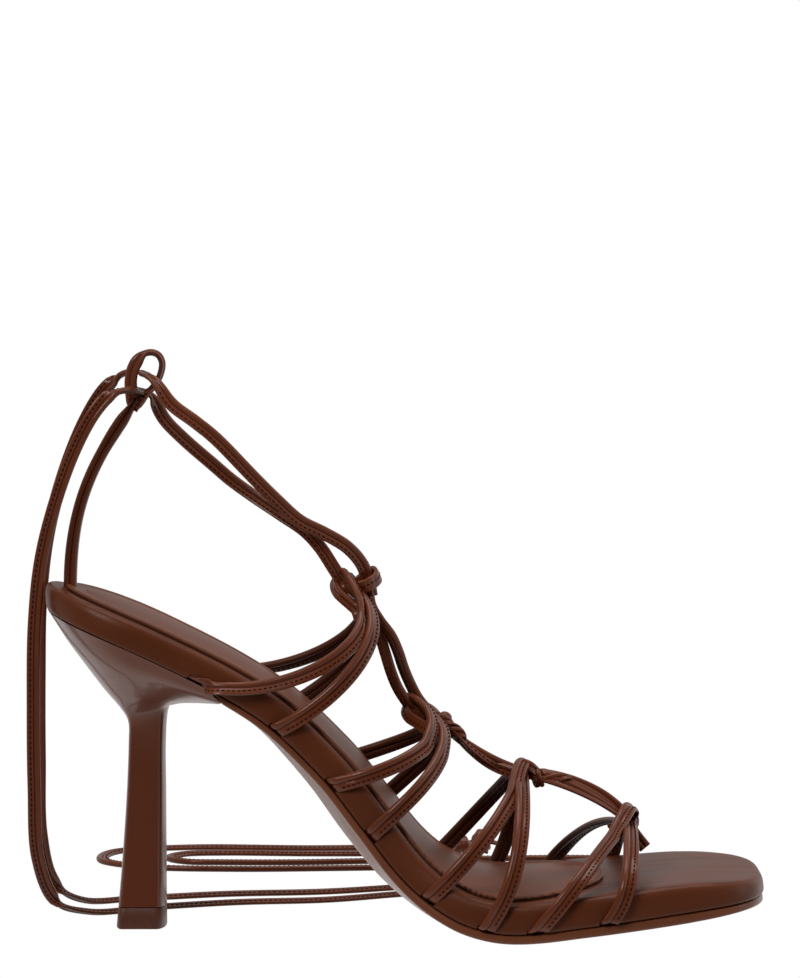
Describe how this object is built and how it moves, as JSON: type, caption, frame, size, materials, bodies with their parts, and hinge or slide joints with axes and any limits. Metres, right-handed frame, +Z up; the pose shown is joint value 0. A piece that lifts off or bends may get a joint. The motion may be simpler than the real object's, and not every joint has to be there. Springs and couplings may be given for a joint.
{
  "type": "lace up heeled sandal",
  "caption": "Open toe sandal on a slim flared high heel, with thin corded straps knotted over the foot, a heel strap with a loop and two long ties.",
  "frame": {"origin": "middle of the shoe without its ties, on the floor", "axes": "+X from heel to toe, +Z up, -Y towards the outer (little toe) side"},
  "size_m": [0.2246, 0.2067, 0.1768],
  "materials": {
    "strap_leather": "smooth nappa, stitched along a bead, satin",
    "tie_leather": "rolled leather cord, satin",
    "bed_leather": "smooth leather wrap, satin",
    "liner_leather": "soft lining leather, satin",
    "sole_leather": "waxed sole leather, satin",
    "heel_gloss": "lacquered moulded heel, glossy",
    "lift_rubber": "matte top piece"
  },
  "bodies": {
    "root": {"footbed": "bed_leather", "sock_liner": "liner_leather", "outsole": "sole_leather", "heel": "heel_gloss", "top_lift": "lift_rubber", "upper": "strap_leather", "heel_strap": "strap_leather", "tie_outer": "tie_leather", "tie_inner": "tie_leather", "tie_knot_outer": "tie_leather", "tie_knot_inner": "tie_leather"}
  },
  "joints": []
}
